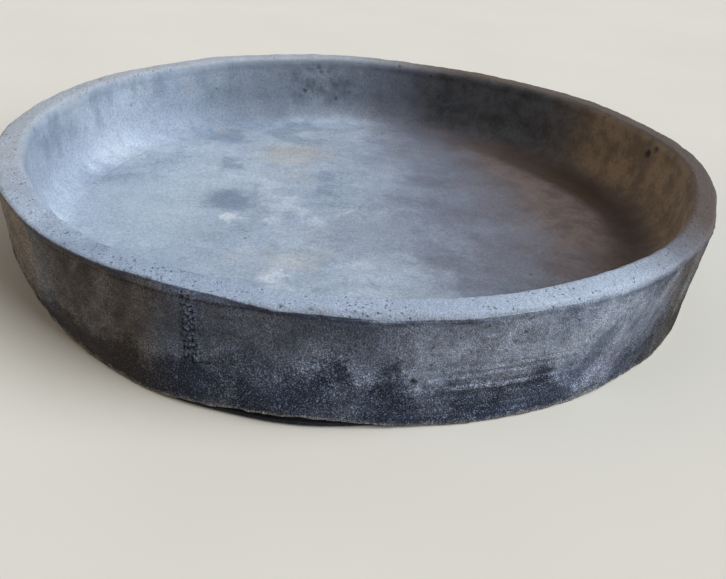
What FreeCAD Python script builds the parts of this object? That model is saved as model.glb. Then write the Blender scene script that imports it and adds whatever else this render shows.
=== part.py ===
import FreeCAD, Part
import math
import os

# A low round planter bowl, hand-built in cement: a slab, a wall strip closed at one seam, a coping on top,
# a lining of screed, cove and render, and wires cast inside. Millimetres, +Z up, origin under the slab's centre.

# Driving sizes of the bowl
rim_radius = 240.0
bowl_height = 70.0
coping_height = 9.0
rim_overhang = 1.5
wall_thickness = 14.0
wall_flare = 6.0
render_thickness = 3.5
screed_thickness = 3.5
cove_radius = 24.0
foot_setback = 3.0
foot_chamfer = 1.5

# Coping, flush with the wall up to the lip that overhangs it
lip_height = 5.5
rim_outer_round = 2.8
rim_inner_round = 6.0
overhang_rise = 1.2
tongue_width = 5.0
tongue_height = 2.0

# Seam of the wall strip, at the left front
seam_angle = -108.5
seam_outer_width = 10.0
seam_inner_width = 6.0
seam_ridge_height = 35.0
seam_ridge_proud = 0.8

# Wires and the cement that covers them
wall_wire = 3.0
mesh_wire = 2.0
wire_gap = 0.5
hoop_gap = 1.4
slab_lower_cover = 2.0
slab_upper_cover = 2.0
ledge_cover = 4.0
upright_count = 16
upright_lap = 55.0
upright_bend = 7.0
upright_top_cover = 6.0
mesh_pitch = 60.0
mesh_edge_cover = 22.0
lower_hoop_share = 0.35
upper_hoop_share = 0.8
rim_hoop_share = 0.5

# Room that a cutting shape runs past what it cuts
overrun = 5.0

# Heights of the slab's layers of wire, from the surface it stands on
lengthwise_height = slab_lower_cover + mesh_wire / 2
crosswise_height = lengthwise_height + mesh_wire + wire_gap
upright_foot_height = crosswise_height + mesh_wire / 2 + wire_gap + wall_wire / 2
slab_height = upright_foot_height + wall_wire / 2 + slab_upper_cover
ledge_height = upright_foot_height - wall_wire / 2 - ledge_cover
floor_height = slab_height + screed_thickness
seat_height = bowl_height - coping_height
wall_seat_radius = rim_radius - rim_overhang
wall_slope_share = wall_flare / seat_height


def wall_outer(height):
    return wall_seat_radius - wall_slope_share * (seat_height - height)


def wall_inner(height):
    return wall_outer(height) - wall_thickness


def wall_middle(height):
    return wall_outer(height) - wall_thickness / 2


def lining_inner(height):
    return wall_inner(height) - render_thickness


# Cove circle, tangent to the floor and to the lining's sloping face
slope_length_share = math.hypot(1, wall_slope_share)
cove_centre_height = floor_height + cove_radius
cove_centre_radius = lining_inner(cove_centre_height) - cove_radius * slope_length_share
cove_top_height = cove_centre_height - cove_radius * wall_slope_share / slope_length_share


def at(radius, height):
    return FreeCAD.Vector(radius, 0, height)


def line(start, end):
    return Part.LineSegment(start, end).toShape()


def arc(start, middle, end):
    return Part.Arc(start, middle, end).toShape()


def revolve(edges):
    face = Part.Face(Part.Wire(edges))
    return face.revolve(FreeCAD.Vector(0, 0, 0), FreeCAD.Vector(0, 0, 1), 360)


def revolve_points(points):
    closed = points + points[:1]
    return revolve([line(start, end) for start, end in zip(closed, closed[1:])])


def rounded_corner(centre, radius, start_angle, end_angle):
    angles = (start_angle, (start_angle + end_angle) / 2, end_angle)
    turns = [math.radians(angle) for angle in angles]
    return [at(centre.x + radius * math.cos(turn), centre.z + radius * math.sin(turn)) for turn in turns]


# Wires

def straight_wires(direction, height):
    """One layer of the slab's mesh: parallel wires cut to the slab's round outline."""
    reach = wall_inner(slab_height) - mesh_edge_cover
    rows = int(reach // mesh_pitch)
    across = FreeCAD.Vector(0, 0, 1).cross(direction)
    wires = []
    for row in range(-rows, rows + 1):
        offset = row * mesh_pitch
        half_length = math.sqrt(reach * reach - offset * offset)
        start = across * offset - direction * half_length + FreeCAD.Vector(0, 0, height)
        wires.append(Part.makeCylinder(mesh_wire / 2, 2 * half_length, start, direction))
    return Part.makeCompound(wires)


def upright_radius(height):
    """Centre line of an upright's leg, on the wall's inner side, clear of the hoops."""
    return wall_middle(height) - (wall_wire + hoop_gap) / 2


def make_upright():
    """A wire bent to an L: its foot lies in the slab, and its leg leans with the wall."""
    corner = at(upright_radius(upright_foot_height), upright_foot_height)
    foot_start = at(wall_inner(upright_foot_height) - upright_lap, upright_foot_height)
    top_height = seat_height - upright_top_cover
    leg_end = at(upright_radius(top_height), top_height)
    leg_direction = (leg_end - corner).normalize()
    foot_direction = FreeCAD.Vector(1, 0, 0)
    tangent = upright_bend * math.tan(foot_direction.getAngle(leg_direction) / 2)
    bend_start = corner - foot_direction * tangent
    bend_end = corner + leg_direction * tangent
    bend_centre = bend_start + FreeCAD.Vector(0, 0, upright_bend)
    bend_middle = bend_centre + (corner - bend_centre).normalize() * upright_bend
    path = Part.Wire([
        line(foot_start, bend_start),
        arc(bend_start, bend_middle, bend_end),
        line(bend_end, leg_end),
    ])
    section = Part.Wire(Part.Circle(foot_start, foot_direction, wall_wire / 2).toShape())
    return path.makePipeShell([section], True, False)


def make_wall_uprights():
    """Uprights spread evenly round the wall, with the seam halfway between two of them."""
    pitch = 360 / upright_count
    uprights = []
    for place in range(upright_count):
        upright = make_upright()
        upright.rotate(FreeCAD.Vector(0, 0, 0), FreeCAD.Vector(0, 0, 1), seam_angle + (place + 0.5) * pitch)
        uprights.append(upright)
    return Part.makeCompound(uprights)


def make_hoop(radius, height):
    return Part.makeTorus(radius, wall_wire / 2, FreeCAD.Vector(0, 0, height))


def make_wall_hoop(height_share):
    height = ledge_height + (seat_height - ledge_height) * height_share
    return make_hoop(wall_middle(height) + (wall_wire + hoop_gap) / 2, height)


def make_rim_hoop():
    """A ring halfway between the tongue's top and the rim's top, over the wall's middle."""
    tongue_top = seat_height + tongue_height
    height = tongue_top + (bowl_height - tongue_top) * rim_hoop_share
    return make_hoop(wall_middle(seat_height), height)


# Cement pieces

def make_base_slab(wires):
    """The slab, with a ledge round it that carries the wall strip against its shoulder."""
    foot_radius = wall_outer(ledge_height) - foot_setback
    slab = revolve_points([
        at(0, 0),
        at(foot_radius - foot_chamfer, 0),
        at(foot_radius, foot_chamfer),
        at(foot_radius, ledge_height),
        at(wall_inner(ledge_height), ledge_height),
        at(wall_inner(slab_height), slab_height),
        at(0, slab_height),
    ])
    return slab.cut(wires)


def wall_outline(ridge_proud):
    """The wall strip's section, with a tongue on top. A ridge stands proud of its upper outer face."""
    ridge_foot = seat_height - seam_ridge_height
    tongue_inner = wall_middle(seat_height) - tongue_width / 2
    tongue_outer = wall_middle(seat_height) + tongue_width / 2
    ridge = []
    if ridge_proud:
        ridge = [
            at(wall_outer(ridge_foot), ridge_foot),
            at(wall_outer(ridge_foot + ridge_proud) + ridge_proud, ridge_foot + ridge_proud),
        ]
    return [
        at(wall_inner(ledge_height), ledge_height),
        at(wall_outer(ledge_height), ledge_height),
        *ridge,
        at(wall_outer(seat_height) + ridge_proud, seat_height),
        at(tongue_outer, seat_height),
        at(tongue_outer, seat_height + tongue_height),
        at(tongue_inner, seat_height + tongue_height),
        at(tongue_inner, seat_height),
        at(wall_inner(seat_height), seat_height),
    ]


def make_seam_wedge():
    """The joint's gap through the wall strip, wider outside than inside."""
    inner = wall_inner(ledge_height) - overrun
    outer = wall_seat_radius + seam_ridge_proud + overrun
    bottom = ledge_height - overrun
    height = seat_height + tongue_height + overrun - bottom
    corners = [
        FreeCAD.Vector(inner, -seam_inner_width / 2, bottom),
        FreeCAD.Vector(outer, -seam_outer_width / 2, bottom),
        FreeCAD.Vector(outer, seam_outer_width / 2, bottom),
        FreeCAD.Vector(inner, seam_inner_width / 2, bottom),
    ]
    wedge = Part.Face(Part.makePolygon(corners + corners[:1])).extrude(FreeCAD.Vector(0, 0, height))
    wedge.rotate(FreeCAD.Vector(0, 0, 0), FreeCAD.Vector(0, 0, 1), seam_angle)
    return wedge


def make_wall_band(wires):
    return revolve_points(wall_outline(0)).cut(make_seam_wedge()).cut(wires)


def make_wall_seam_fill(wires):
    return revolve_points(wall_outline(seam_ridge_proud)).common(make_seam_wedge()).cut(wires)


def make_rim_coping(wires):
    """The coping, grooved for the wall's tongue, with a rounded top and an overhanging lip outside."""
    inner = lining_inner(seat_height)
    lip_bottom = bowl_height - lip_height
    groove_inner = wall_middle(seat_height) - tongue_width / 2
    groove_outer = wall_middle(seat_height) + tongue_width / 2
    groove_top = seat_height + tongue_height
    outer_round = rounded_corner(
        at(rim_radius - rim_outer_round, bowl_height - rim_outer_round), rim_outer_round, 0, 90)
    inner_round = rounded_corner(
        at(inner + rim_inner_round, bowl_height - rim_inner_round), rim_inner_round, 90, 180)
    base = [
        inner_round[-1],
        at(inner, seat_height),
        at(groove_inner, seat_height),
        at(groove_inner, groove_top),
        at(groove_outer, groove_top),
        at(groove_outer, seat_height),
        at(wall_seat_radius, seat_height),
        at(wall_outer(lip_bottom), lip_bottom),
        at(rim_radius, lip_bottom + overhang_rise),
        outer_round[0],
    ]
    edges = [line(start, end) for start, end in zip(base, base[1:])]
    edges.append(arc(*outer_round))
    edges.append(line(outer_round[-1], inner_round[0]))
    edges.append(arc(*inner_round))
    return revolve(edges).cut(wires)


def make_inner_render():
    return revolve_points([
        at(lining_inner(cove_top_height), cove_top_height),
        at(wall_inner(cove_top_height), cove_top_height),
        at(wall_inner(seat_height), seat_height),
        at(lining_inner(seat_height), seat_height),
    ])


def make_inner_cove():
    """The fillet between floor and wall. Its toe meets the screed, and its top meets the render."""
    cove_centre = at(cove_centre_radius, cove_centre_height)
    face_angle = -math.degrees(math.atan(wall_slope_share))
    face = rounded_corner(cove_centre, cove_radius, face_angle, -90)
    base = [
        face[-1],
        at(cove_centre_radius, slab_height),
        at(wall_inner(slab_height), slab_height),
        at(wall_inner(cove_top_height), cove_top_height),
        face[0],
    ]
    edges = [line(start, end) for start, end in zip(base, base[1:])]
    edges.append(arc(*face))
    return revolve(edges)


def make_floor_screed():
    return Part.makeCylinder(cove_centre_radius, screed_thickness, at(0, slab_height))


def main():
    lengthwise = straight_wires(FreeCAD.Vector(1, 0, 0), lengthwise_height)
    crosswise = straight_wires(FreeCAD.Vector(0, 1, 0), crosswise_height)
    uprights = make_wall_uprights()
    lower_hoop = make_wall_hoop(lower_hoop_share)
    upper_hoop = make_wall_hoop(upper_hoop_share)
    rim_hoop = make_rim_hoop()
    hoops = [lower_hoop, upper_hoop]
    nodes = {
        "base_slab": make_base_slab([*lengthwise.Solids, *crosswise.Solids, *uprights.Solids]),
        "wall_band": make_wall_band([*uprights.Solids, *hoops]),
        "wall_seam_fill": make_wall_seam_fill(hoops),
        "rim_coping": make_rim_coping([rim_hoop]),
        "inner_render": make_inner_render(),
        "inner_cove": make_inner_cove(),
        "floor_screed": make_floor_screed(),
        "base_wires_lengthwise": lengthwise,
        "base_wires_crosswise": crosswise,
        "wall_uprights": uprights,
        "lower_wall_hoop": lower_hoop,
        "upper_wall_hoop": upper_hoop,
        "rim_hoop": rim_hoop,
    }
    os.makedirs("parts", exist_ok=True)
    for name, shape in nodes.items():
        shape.exportStep(f"parts/{name}.step")
        solids = len(shape.Solids)
        print(f"{name}: {solids} solids, {shape.Volume:.0f} cubic mm, valid {shape.isValid()}")


main()
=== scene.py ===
import math

import bpy
import numpy as np
from mathutils import Matrix, Vector, noise


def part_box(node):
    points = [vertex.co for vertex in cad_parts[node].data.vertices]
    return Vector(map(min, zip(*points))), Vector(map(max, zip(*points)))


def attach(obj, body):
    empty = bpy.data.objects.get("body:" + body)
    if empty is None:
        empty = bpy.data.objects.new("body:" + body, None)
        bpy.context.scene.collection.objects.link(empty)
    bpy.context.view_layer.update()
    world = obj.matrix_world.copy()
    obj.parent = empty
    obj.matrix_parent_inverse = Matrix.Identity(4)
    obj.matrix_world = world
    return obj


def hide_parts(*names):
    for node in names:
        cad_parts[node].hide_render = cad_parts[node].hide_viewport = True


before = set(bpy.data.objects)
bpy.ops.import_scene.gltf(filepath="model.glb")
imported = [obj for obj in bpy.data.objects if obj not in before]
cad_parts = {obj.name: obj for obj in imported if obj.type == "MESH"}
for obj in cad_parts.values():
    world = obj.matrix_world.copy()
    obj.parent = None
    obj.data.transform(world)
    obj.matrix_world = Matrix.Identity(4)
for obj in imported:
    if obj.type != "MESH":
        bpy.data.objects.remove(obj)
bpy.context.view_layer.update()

# A low round planter bowl of hand-laid cement. Each visible piece is a closed mesh with its solid's section,
# bent out of true and roughened by fields of position, so that neighbours still meet. In the tables, angles
# are degrees from +X, counterclockwise from above. A bump is its angle, width and size, and a stretch is its
# start, end, fade and share.

MM = 0.001


# Sizes read from the solids

def radii(node):
    """Smallest and largest distance of a node's corners from the bowl's axis."""
    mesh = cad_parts[node].data
    flat = np.empty(len(mesh.vertices) * 3)
    mesh.vertices.foreach_get("co", flat)
    spans = np.hypot(flat[0::3], flat[1::3])
    return spans.min(), spans.max()


rim_inner, rim_outer = radii("rim_coping")
rim_middle = (rim_inner + rim_outer) / 2
bowl_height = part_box("rim_coping")[1][2]
seat_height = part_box("inner_render")[1][2]
cove_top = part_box("inner_cove")[1][2]
floor_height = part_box("floor_screed")[1][2]
slab_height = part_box("floor_screed")[0][2]
ledge_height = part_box("wall_band")[0][2]
floor_radius = radii("floor_screed")[1]
wall_seat_radius = radii("wall_band")[1]
wall_inner_seat = radii("inner_render")[1]
wall_thickness = wall_seat_radius - wall_inner_seat
lining_thickness = wall_inner_seat - rim_inner
foot_radius = radii("base_slab")[1]
wall_foot_inner = radii("wall_band")[0]
wall_slope = (wall_inner_seat - wall_foot_inner) / (seat_height - ledge_height)
cove_radius = (cove_top - floor_height) / (1 - wall_slope / math.hypot(1, wall_slope))

# Shape of the coping
LIP_HEIGHT = 5.5 * MM
RIM_OUTER_ROUND = 2.8 * MM
RIM_INNER_ROUND = 6.0 * MM
OVERHANG_RISE = 1.2 * MM
FOOT_CHAMFER = 1.5 * MM

# Seam of the wall strip
SEAM_ANGLE = math.radians(-108.5)
SEAM_HALF_WIDTH = 5.0 * MM
SEAM_STEPS = 30

# Fineness of the meshes
RING_STEPS = 1500
LINING_STEPS = 1200
FLOOR_CELLS = 300
SLAB_CELLS = 120
WALL_STEP = 1.05 * MM
SEAM_STEP = 0.4 * MM
LINING_STEP = 0.95 * MM
RIM_STEP = 0.6 * MM
HIDDEN_STEP = 8.0 * MM
BACK_STEP = 32.0 * MM
UNDERSIDE_STEP = 1.0 * MM


def wall_outer(height):
    return wall_seat_radius - wall_slope * (seat_height - height)


lip_bottom = bowl_height - LIP_HEIGHT
lip_overhang = rim_outer - wall_outer(lip_bottom)


def wall_inner(height):
    return wall_outer(height) - wall_thickness


def lining_inner(height):
    return wall_inner(height) - lining_thickness


# Fields of position that make the bowl hand-made

NOISE_FALL, NOISE_GROWTH = 0.9, 2.1


def fractal(points, scale, octaves, shift=0.0):
    """Layered noise from about -1 to 1 at each point. scale is features per metre."""
    moved = (points * scale + shift).tolist()
    return np.array([noise.fractal(place, NOISE_FALL, NOISE_GROWTH, octaves) for place in moved])


def layers(points, table):
    """Sum of noise layers, each a size in millimetres, features per metre, octaves and a shift."""
    return sum(size * MM * fractal(points, scale, octaves, shift) for size, scale, octaves, shift in table)


def cylindrical(points):
    """Angle, distance from the axis and height of each point."""
    return np.arctan2(points[:, 1], points[:, 0]), np.hypot(points[:, 0], points[:, 1]), points[:, 2]


def from_polar(angle, span, height):
    return np.stack([span * np.cos(angle), span * np.sin(angle), height], -1)


def angle_from(start, angle):
    """The turn from start to an angle, within half a turn either way."""
    return np.angle(np.exp(1j * (angle - start)))


def hump(angle, centre_degrees, width_degrees):
    """A smooth bump of 1 round one angle, falling off over its width."""
    away = angle_from(math.radians(centre_degrees), angle)
    return np.exp(-(away / math.radians(width_degrees)) ** 2)


def humps(angle, table):
    """Sum of bumps, each an angle and a width in degrees and a size."""
    return sum(size * hump(angle, centre, width) for centre, width, size in table)


def share_of(value, low, high):
    """0 at low, 1 at high, straight between."""
    return np.clip((value - low) / (high - low), 0, 1)


def ease(value, low, high):
    """0 at low, 1 at high, smooth between."""
    share = share_of(value, low, high)
    return share * share * (3 - 2 * share)


def bell(value, centre, width):
    return np.exp(-((value - centre) / width) ** 2)


def window(angle, start_degrees, end_degrees, fade_degrees):
    """1 between two angles, fading to 0 outside them."""
    middle = math.radians((start_degrees + end_degrees) / 2)
    half = math.radians((end_degrees - start_degrees) / 2)
    away = np.abs(angle_from(middle, angle))
    return ease(away, half + math.radians(fade_degrees), half)


def windows(angle, table):
    """Sum of such windows, each its start, end and fade in degrees and its share, held within 1."""
    return np.clip(sum(share * window(angle, *stretch) for *stretch, share in table), 0, 1)


# Out-of-round and uneven height: size in millimetres, waves per turn, phase
ROUND_WAVES = ((0.9, 2, 0.6), (0.7, 3, 2.1), (0.45, 5, 0.4), (0.3, 9, 1.0), (0.22, 14, 2.6))
HEIGHT_WAVES = ((0.7, 2, 1.9), (0.5, 4, 0.3), (0.35, 7, 2.0), (0.25, 12, 0.8))
# Rim's inner edge pushed outward: angle, width, millimetres
INNER_PUSHES = ((6, 26, 4.2), (-151, 12, -1.6), (-110, 8, -1.4), (-176, 9, 1.2))

# Foot pushed outward over the lower wall, and tucked in over the lowest part: angle, width, millimetres
FOOT_PUSHES = ((-111, 10, 4.8), (-96, 9, 6.3), (-70, 20, 2.0))
FOOT_TUCKS = ((-142, 14, 5.0),)
PUSH_TOP = 45 * MM
TUCK_TOP = 21 * MM
FOOT_DEPTH = 9 * MM


def waves(angle, table):
    return sum(size * MM * np.sin(count * angle + phase) for size, count, phase in table)


def bend_form(points):
    """Points of the true bowl moved to the hand-made one."""
    angle, span, height = cylindrical(points)
    rise = np.clip(height / bowl_height, 0, 1)
    inward = ease(span, wall_seat_radius, rim_inner) * ease(height, floor_height, seat_height)
    push = humps(angle, INNER_PUSHES) * MM
    push_out = humps(angle, FOOT_PUSHES) * MM * ease(height, PUSH_TOP, ledge_height)
    tuck_in = humps(angle, FOOT_TUCKS) * MM * ease(height, TUCK_TOP, ledge_height)
    foot_shift = (push_out - tuck_in) * ease(span, foot_radius - FOOT_DEPTH, foot_radius)
    moved_span = span + waves(angle, ROUND_WAVES) * span / rim_outer + push * inward + foot_shift
    lift = waves(angle, HEIGHT_WAVES) * rise
    return from_polar(angle, moved_span, height + lift)


# Pits and chips

PIT_REACH = 2.0
PIT_RAGGED = 0.4
PIT_NOISE = (2, 31.0)
PIT_FALL = 1.3
PIT_POWER = 3
SMALL_PIT_POWER = 3
FULL_CIRCLE = 360


def pit_depths(points, pits):
    """Depth below the surface at each point. Each pit is its centre, its radius and its depth."""
    depths = np.zeros(len(points))
    for centre, radius, depth in pits:
        away = np.linalg.norm(points - centre, axis=1) / radius
        near = np.flatnonzero(away < PIT_REACH)
        if near.size:
            ragged = away[near] * (1 + PIT_RAGGED * fractal(points[near], 1 / radius, *PIT_NOISE))
            dent = depth * np.exp(-PIT_FALL * np.abs(ragged) ** PIT_POWER)
            depths[near] = np.maximum(depths[near], dent)
    return depths


def polar(degrees, span, height):
    return from_polar(math.radians(degrees), span, height)


def on_wall(degrees, height):
    return polar(degrees, wall_outer(height), height)


def on_lining(degrees, height):
    return polar(degrees, lining_inner(height), height)


def on_rim(degrees, span):
    return polar(degrees, span, bowl_height)


def on_floor(degrees, span):
    return polar(degrees, span, floor_height)


def over_floor(degrees, share):
    """A place on the floor by the share of the floor that lies nearer the middle."""
    return on_floor(degrees, floor_radius * math.sqrt(share))


def on_outer_edge(degrees, inset):
    return polar(degrees, rim_outer - inset, bowl_height - inset)


def on_inner_edge(degrees, inset):
    return polar(degrees, rim_inner + inset, bowl_height - inset)


def random_pits(seed, count, surface, low, high, smallest, largest, depth_share):
    """Pits scattered on a surface from low to high, most of them small, with radii in millimetres."""
    draw = np.random.default_rng(seed)
    pits = []
    for _ in range(count):
        first, second, size = draw.random(3)
        radius = (smallest + (largest - smallest) * size ** SMALL_PIT_POWER) * MM
        centre = surface(first * FULL_CIRCLE, low + (high - low) * second)
        pits.append((centre, radius, radius * depth_share))
    return pits


def pits_on(surface, *table):
    """Pits on a surface, each its angle, its place there, its radius and its depth in millimetres."""
    return [(surface(degrees, place * MM), radius * MM, depth * MM)
            for degrees, place, radius, depth in table]


# Shares of the rim's width between which its pits lie, and insets of pits on its rounded edges
PITTED_FROM_SHARE, PITTED_TO_SHARE = 0.2, 0.95
OUTER_INSET, INNER_INSET = 0.84, 1.8
COVE_PIT = (polar(156.8, 209 * MM, 22 * MM), 1.4 * MM, 0.9 * MM)
rim_width = rim_outer - rim_inner
pitted_from, pitted_to = rim_inner + PITTED_FROM_SHARE * rim_width, rim_inner + PITTED_TO_SHARE * rim_width

wall_pits = (
    random_pits(11, 40, on_wall, ledge_height, seat_height, 0.7, 1.2, 0.5)
    + pits_on(on_wall, (-81.8, 29, 1.9, 1.5), (-108.9, 35, 1.5, 1.1), (-136, 58, 1.2, 0.9),
              (-68.6, 54, 1.0, 0.8)))
rim_pits = (
    random_pits(12, 60, on_rim, pitted_from, pitted_to, 0.6, 1.1, 0.6)
    + random_pits(15, 50, on_outer_edge, OUTER_INSET * MM, OUTER_INSET * MM, 0.7, 1.4, 0.3)
    + pits_on(on_outer_edge, (-114, OUTER_INSET, 2.0, 1.4), (-97.7, OUTER_INSET, 1.3, 0.8),
              (-94.4, OUTER_INSET, 1.6, 0.7))
    + pits_on(on_rim, (-130, 230, 1.3, 0.9), (-77.2, 225, 1.2, 0.8), (-67.3, 225, 1.1, 0.8)))
edge_pits = (
    random_pits(16, 24, on_inner_edge, INNER_INSET * MM, INNER_INSET * MM, 0.7, 1.4, 0.25)
    + pits_on(on_inner_edge, (82.3, INNER_INSET, 2.4, 0.7))
    + pits_on(on_lining, (101.8, 61, 2.6, 0.7), (101.2, 57, 2.0, 0.6), (74.4, 63, 2.0, 0.6),
              (66, 58, 1.8, 0.5), (12.9, 57, 3.0, 2.0), (10.6, 63, 2.4, 1.2)))
lining_pits = (
    random_pits(13, 30, on_lining, cove_top, seat_height, 0.6, 1.1, 0.5)
    + random_pits(14, 30, over_floor, 0, 1, 0.6, 1.0, 0.45)
    + pits_on(on_lining, (105, 40, 2.2, 0.9), (97.3, 33, 2.0, 0.8)) + [COVE_PIT]
    + pits_on(on_floor, (103.8, 62.4, 1.3, 0.8), (84.4, 180, 1.5, 0.9), (-140.7, 94.7, 1.2, 0.8),
              (-141.5, 91, 0.9, 0.6), (-35.8, 143, 1.5, 0.9), (-30.7, 147, 1.2, 0.7), (-26.2, 154, 1.2, 0.7)))


# Relief of each surface: how far it stands out from true, and the fields that its material reads.
# A layer is its size in millimetres, features per metre, octaves and a shift. A noise has the last three.

WALL_LAYERS = ((0.8, 18, 3, 0.0), (0.5, 75, 3, 7.0), (0.22, 330, 3, 3.0))
RIM_LAYERS = ((0.5, 24, 3, 2.0), (0.28, 110, 3, 4.0), (0.16, 430, 3, 6.0))
LINING_LAYERS = ((0.8, 9, 3, 8.0), (0.25, 42, 3, 1.0), (0.05, 240, 2, 12.0))
PLAN = np.array([1.0, 1.0, 0.0])

# Where the coping has no overhang
FLUSH_STRETCHES = ((-93, -20, 9, 1.0), (40, 80, 15, 0.8), (130, 170, 15, 0.9))
# Where the rim's outer edge is soft
SOFT_STRETCHES = ((-48, 20, 1.0), (-86, 3, 0.9), (75, 26, 0.5), (155, 26, 0.6))
# How far down the outer edge the rim's lighter top, partly painted light, reaches, and where it ends higher,
# in millimetres
TOP_REACH = 3.4
TOP_SHORT = ((-152, -104, 7, 2.8), (-115, -106, 4, 1.2))
# Where pinholes crowd on the rim, and in what share of places
RIM_PITTED = ((-89, 2.2, 0.5), (-84.3, 2.6, 0.4), (-131, 6, 0.25), (-113, 6, 0.2), (150, 10, 0.2))

# Height of the damp stain on the wall's foot, and where it differs, in millimetres
TIDE_LEVEL = 21.0
TIDE_HUMPS = (
    (-101, 7, 12), (-91, 3.4, 16), (-84.5, 2.2, 16), (-80.5, 2.0, -7), (-71, 6, 6), (-64.7, 2.5, 10),
    (-55, 7, -10), (-40, 6, 7), (-116, 6, 8), (-20, 14, 8), (40, 18, 10), (95, 20, -10), (130, 16, 6),
    (-165, 14, 8),
)
TIDE_WANDER = 6.0
TIDE_NOISE = (14, 3, 23.0)

# Trowel lines and streaks, with their grain in features per metre
TROWEL_STRETCHES = ((-70, 9, 1.0), (20, 20, 0.6), (110, 22, 0.8), (-160, 20, 0.5))
TROWEL_GRAIN = np.array([9.0, 9.0, 400.0])
STREAK_STRETCHES = ((-50, 17, 1.0), (-124, 9, 0.5), (70, 25, 0.6), (160, 22, 0.6), (-5, 18, 0.5))
STREAK_GRAIN = np.array([14.0, 42.0, 0.0])
STREAK_RISE = math.radians(50)
# How far the seam, the trowel lines and the streaks stand out
SEAM_SIZE, TROWEL_SIZE, STREAK_SIZE = 1.2 * MM, 0.45 * MM, 0.35 * MM

# Side of the bowl painted browner and greyer, partly as soiling and partly as painted shade with warm bounced
# light: the way it faces, and how far that way the painting starts and is full
WALL_SOIL_AND_SHADE = (22, 62, 128)
RIM_SOIL_AND_SHADE = (22, 45, 165)
LINING_SOIL_AND_SHADE = (11, -20, 180)
# Where the wall's soiling and painted shade are full, and their share elsewhere
SOIL_AND_SHADE_FULL = (-70, -24, 40)
SOIL_AND_SHADE_LEAST = 0.3
# Where else the wall is painted browner, as shade with warm bounced light, and where it is painted dark as
# shade, under the rim and lower down
WALL_WARM_SHADE = ((-129, -118, 11, 0.8), (-165, -142, 10, 0.2))
PAINTED_SHADE_UNDER_RIM = ((-124, -94, 10, 1.0), (-94, -76, 8, 0.6), (-46, -34, 6, 0.7))
PAINTED_SHADE_LOWER = ((-118, -98, 6, 1.0), (-87, -83, 3, 0.6))
# Where the rim's top and the wall's upper half are palest
PALE_RIM = ((-100, -47, 8, 1.0), (125, 165, 20, 0.4))
PALE_WALL = ((-80, -48, 7, 1.0), (10, 40, 15, 0.6), (120, 150, 20, 0.8))
# Where the rim and the wall are sandy, less blue than elsewhere
SANDY_RIM = ((85, 200, 25, 1.0),)
SANDY_WALL = ((-170, -140, 9, 1.0), (60, 90, 20, 0.5))
# Heights over which these set in
TROWEL_RISE = (43 * MM, 32 * MM)
UNDER_RIM_RISE = (40 * MM, 62 * MM)
LOWER_RISE = (18 * MM, 44 * MM)
PALE_RISE = (20 * MM, 40 * MM)

# Fields of faces that look down, painted dark as damp and as the shade under the foot, and how near the foot
# they lie
DOWNWARD_SHADE_DAMP = 30.0
DOWNWARD_SHADE_SEAM = -1.0
DOWNWARD_MARGIN = 0.5 * MM


# Share across the bowl towards one side, where soiling, painted shade and painted warm bounced light are laid
def earthy(points, facing_degrees, start, full):
    facing = math.radians(facing_degrees)
    across = points[:, 0] * math.cos(facing) + points[:, 1] * math.sin(facing)
    return share_of(across, start * MM, full * MM)


# The seam's lumps and groove: millimetres beside its middle, width, and level and swing of its noise
SEAM_LUMPS, LUMP_LEVEL, LUMP_SWING = (0.4, 4.2), 0.1, 1.7
SEAM_GROOVE, GROOVE_LEVEL, GROOVE_SWING, GROOVE_MOST = (-3.2, 1.7), 0.3, 1.6, 1.3
SEAM_WANDER_NOISE, LUMP_NOISE, GROOVE_NOISE = (60, 2, 19.0), (640, 3, 9.0), (380, 2, 4.0)
# Millimetres up over which the seam sets in, and the crack at its foot: height and width, slope, ends, depth
SEAM_START = (25, 31)
CRACK_LINE, CRACK_SLOPE, CRACK_NEAR, CRACK_FAR, CRACK_DEPTH = (27, 0.9), 0.15, (-1, 1), (14, 9), 0.8


def seam_relief(points):
    """Lumps of mortar in an upright strip with a broken groove beside it, and a crack at its foot."""
    angle, _, height = cylindrical(points)
    level = height / MM
    beside = angle_from(SEAM_ANGLE, angle) * wall_seat_radius / MM
    wandering = beside + fractal(points, *SEAM_WANDER_NOISE)
    lumpy = LUMP_LEVEL + LUMP_SWING * fractal(points, *LUMP_NOISE)
    broken = np.clip(GROOVE_LEVEL + GROOVE_SWING * fractal(points, *GROOVE_NOISE), 0, GROOVE_MOST)
    strip = bell(wandering, *SEAM_LUMPS) * lumpy - bell(wandering, *SEAM_GROOVE) * broken
    ends = ease(beside, *CRACK_NEAR) * ease(beside, *CRACK_FAR)
    crack = bell(level - CRACK_SLOPE * beside, *CRACK_LINE) * ends
    return ease(level, *SEAM_START) * strip - CRACK_DEPTH * crack


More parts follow.
